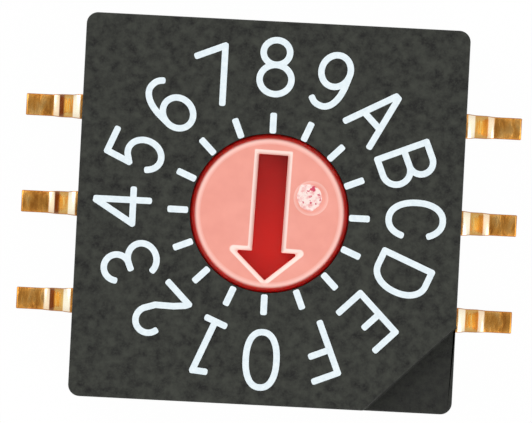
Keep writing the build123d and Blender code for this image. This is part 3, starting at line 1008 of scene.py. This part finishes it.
def tick_tree(material):
    """One rounded bar, set out evenly round the axis by named sizes."""
    tree = bpy.data.node_groups.new("dial_ticks", "GeometryNodeTree")
    sizes = (("Count", "NodeSocketInt", POSITIONS), ("Inner Radius", "NodeSocketFloat", TICK_INNER),
             ("Outer Radius", "NodeSocketFloat", TICK_OUTER), ("Width", "NodeSocketFloat", TICK_WIDTH),
             ("Thickness", "NodeSocketFloat", 2 * PRINT_HEIGHT))
    for name, kind, default in sizes:
        socket = tree.interface.new_socket(name, in_out="INPUT", socket_type=kind)
        socket.default_value = default
    tree.interface.new_socket("Geometry", in_out="OUTPUT", socket_type="NodeSocketGeometry")
    nodes = Nodes(tree)
    given = nodes.add("NodeGroupInput").outputs
    inner, outer = given["Inner Radius"], given["Outer Radius"]
    length = calc(nodes, "SUBTRACT", outer, inner)
    bar = nodes.add("GeometryNodeCurvePrimitiveQuadrilateral", {"Width": length, "Height": given["Width"]})
    rounding = calc(nodes, "MULTIPLY", given["Width"], 0.3)
    rounded = nodes.add("GeometryNodeFilletCurve", {
        "Curve": bar.outputs[0], "Count": 8, "Radius": rounding}, mode="POLY")
    filled = nodes.add("GeometryNodeFillCurve", {"Curve": rounded.outputs[0]})
    thick = nodes.add("GeometryNodeExtrudeMesh", {
        "Mesh": filled.outputs[0], "Offset Scale": given["Thickness"], "Individual": False})
    under = nodes.add("GeometryNodeFlipFaces", {"Mesh": filled.outputs[0]})
    closed = nodes.add("GeometryNodeJoinGeometry")
    nodes.link(thick.outputs[0], closed.inputs[0])
    nodes.link(under.outputs[0], closed.inputs[0])
    merged = nodes.add("GeometryNodeMergeByDistance", {"Geometry": closed.outputs[0], "Distance": 1e-5})
    middle = calc(nodes, "MULTIPLY", calc(nodes, "ADD", outer, inner), 0.5)
    ring = nodes.add("GeometryNodeMeshCircle", {"Vertices": given["Count"], "Radius": middle})
    index = nodes.add("GeometryNodeInputIndex").outputs[0]
    turn = calc(nodes, "MULTIPLY", index, calc(nodes, "DIVIDE", 2 * math.pi, given["Count"]))
    angle = nodes.add("ShaderNodeCombineXYZ", {"Z": turn})
    ticks = nodes.add("GeometryNodeInstanceOnPoints", {
        "Points": ring.outputs[0], "Instance": merged.outputs[0], "Rotation": angle.outputs[0]})
    real = nodes.add("GeometryNodeRealizeInstances", {"Geometry": ticks.outputs[0]})
    dressed = nodes.add("GeometryNodeSetMaterial", {"Geometry": real.outputs[0], "Material": material})
    result = nodes.add("NodeGroupOutput")
    nodes.link(dressed.outputs[0], result.inputs[0])
    return tree


def make_ticks():
    """The sixteen tick marks between the rotor and the characters."""
    ticks = new_object("dial_ticks", bmesh.new())
    grow = ticks.modifiers.new("ticks", "NODES")
    grow.node_group = tick_tree(PRINT_WHITE)
    settle(ticks)
    ticks.data.transform(Matrix.Translation(PRINT_OFFSET + Vector((0, 0, TOP - 2 * PRINT_HEIGHT))))
    bm = bmesh.new()
    bm.from_mesh(ticks.data)
    tidy(bm)
    bm.to_mesh(ticks.data)
    bm.free()
    return finish_piece(ticks, "switch_body", "housing_plastic", PRINT_WHITE)


# Studio

def aim(obj, target):
    """Turn a lamp towards a point."""
    obj.rotation_euler = (Vector(target) - obj.location).to_track_quat("-Z", "Y").to_euler()


def add_lamp(name, place, size, level):
    """A square soft box aimed at the switch. level is the light it gives on a surface that faces it."""
    lamp = bpy.data.lights.new(name, "AREA")
    lamp.shape = "SQUARE"
    lamp.size = size
    lamp.energy = level * math.pi ** 2 * Vector(place).length_squared
    obj = bpy.data.objects.new(name, lamp)
    obj.location = place
    bpy.context.scene.collection.objects.link(obj)
    aim(obj, (0, 0, 0))


def seen_by(nodes):
    """Two masks: 1 for what the camera sees directly, and 1 for what shows in metal or through glass."""
    path = nodes.add("ShaderNodeLightPath").outputs
    shiny = calc(nodes, "MAXIMUM", path["Is Glossy Ray"], path["Is Transmission Ray"])
    return path["Is Camera Ray"], shiny


def make_floor():
    """A white floor that keeps a faint shadow. It is clear from below."""
    bm = bmesh.new()
    bmesh.ops.create_grid(bm, x_segments=1, y_segments=1, size=400)
    floor = new_object("floor", bm)
    floor.data.transform(Matrix.Scale(MM, 4) @ Matrix.Translation((0, 0, -0.02)))
    material, nodes = material_nodes("studio_white_floor")
    paint = nodes.add("ShaderNodeBsdfDiffuse", {"Color": (0.95, 0.95, 0.95, 1)})
    glow = nodes.add("ShaderNodeEmission", {"Color": (1, 1, 1, 1), "Strength": 1.0})
    share = calc(nodes, "MULTIPLY", calc(nodes, "MAXIMUM", *seen_by(nodes)), 0.985)
    lit = nodes.add("ShaderNodeMixShader", {0: share, 1: paint.outputs[0], 2: glow.outputs[0]})
    clear = nodes.add("ShaderNodeBsdfTransparent")
    back = nodes.add("ShaderNodeNewGeometry").outputs["Backfacing"]
    both = nodes.add("ShaderNodeMixShader", {0: back, 1: lit.outputs[0], 2: clear.outputs[0]})
    output = nodes.add("ShaderNodeOutputMaterial")
    nodes.link(both.outputs[0], output.inputs[0])
    floor.data.materials.append(material)
    floor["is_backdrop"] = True


def make_world():
    """Soft light from all round. Shiny faces mirror a white room that is dark straight above."""
    world = bpy.data.worlds.new("studio")
    bpy.context.scene.world = world
    world.use_nodes = True
    world.node_tree.nodes.clear()
    nodes = Nodes(world.node_tree)
    direction = nodes.add("ShaderNodeTexCoord").outputs["Generated"]
    up = nodes.add("ShaderNodeSeparateXYZ", {0: direction}).outputs["Z"]
    overhead = span(nodes, up, 0.93, 0.98)
    direct, shiny = seen_by(nodes)
    soft = nodes.add("ShaderNodeBackground", {
        "Color": (1, 1, 1, 1), "Strength": span(nodes, overhead, 0.0, 1.0, 0.57, 0.32)})
    mirrored = nodes.add("ShaderNodeBackground", {
        "Color": (1, 1, 1, 1), "Strength": span(nodes, overhead, 0.0, 1.0, 1.0, 0.28)})
    white = nodes.add("ShaderNodeBackground", {"Color": (1, 1, 1, 1), "Strength": 1.0})
    around = nodes.add("ShaderNodeMixShader", {0: shiny, 1: soft.outputs[0], 2: mirrored.outputs[0]})
    both = nodes.add("ShaderNodeMixShader", {0: direct, 1: around.outputs[0], 2: white.outputs[0]})
    output = nodes.add("ShaderNodeOutputWorld")
    nodes.link(both.outputs[0], output.inputs[0])


# The photo's frame: 532 x 423 pixels, the switch rolled clockwise in it
PHOTO_WIDTH, PHOTO_HEIGHT = 532, 423
PHOTO_CENTRE = (269.4, 213.4)
PIXELS_PER_MM = 38.45
ROLL = math.radians(2.95)
CAMERA_HEIGHT = 450.0
CAMERA_LEAN = math.radians(-0.15)


def make_camera():
    """A long lens straight above, rolled and framed as the photo is."""
    camera = bpy.data.objects.new("camera", bpy.data.cameras.new("camera"))
    bpy.context.scene.collection.objects.link(camera)
    bpy.context.scene.camera = camera
    right = Vector((math.cos(ROLL), math.sin(ROLL), 0))
    up = Vector((-math.sin(ROLL), math.cos(ROLL), 0))
    off_right = (PHOTO_WIDTH / 2 - PHOTO_CENTRE[0]) / PIXELS_PER_MM
    off_up = (PHOTO_CENTRE[1] - PHOTO_HEIGHT / 2) / PIXELS_PER_MM
    target = right * off_right + up * off_up + Vector((0, 0, TOP))
    away = Vector((math.sin(CAMERA_LEAN), 0, math.cos(CAMERA_LEAN)))
    place = target + away * CAMERA_HEIGHT
    side = up.cross(away).normalized()
    top = away.cross(side)
    camera.matrix_world = Matrix((
        (side.x, top.x, away.x, place.x * MM), (side.y, top.y, away.y, place.y * MM),
        (side.z, top.z, away.z, place.z * MM), (0, 0, 0, 1)))
    lens = camera.data
    lens.sensor_width = 36
    lens.lens = 36 * CAMERA_HEIGHT * PIXELS_PER_MM / PHOTO_WIDTH
    lens.clip_start = 0.01
    lens.clip_end = 10


def main():
    """The whole switch, from its leads to its studio."""
    lead_pieces = make_leads()
    make_base([lead for lead, _ in lead_pieces])
    for lead, node in lead_pieces:
        finish_piece(lead, "switch_body", "lead_gold", LEAD_GOLD, node)
    make_housing()
    make_rotor()
    make_gate_stub()
    make_characters()
    make_ticks()
    dress = {"code_disc": CONTACT_GOLD, "seal_ring": SEAL_BLACK, "detent_spring_front": SPRING_STEEL,
             "detent_spring_rear": SPRING_STEEL}
    for name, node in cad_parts.items():
        if name.startswith("contact_spring"):
            dress[name] = CONTACT_GOLD
        if name in dress:
            node.data.materials.clear()
            node.data.materials.append(dress[name])
    make_floor()
    make_world()
    add_lamp("key_left", (-0.19, 0.2, 0.24), 0.32, 0.51)
    add_lamp("fill_right", (0.2, -0.2, 0.24), 0.34, 0.47)
    make_camera()


main()
bpy.context.scene.view_settings.view_transform = "Standard"
seen_low, seen_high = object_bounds()
[list(corner) for corner in (cad_low, cad_high, seen_low, seen_high)]
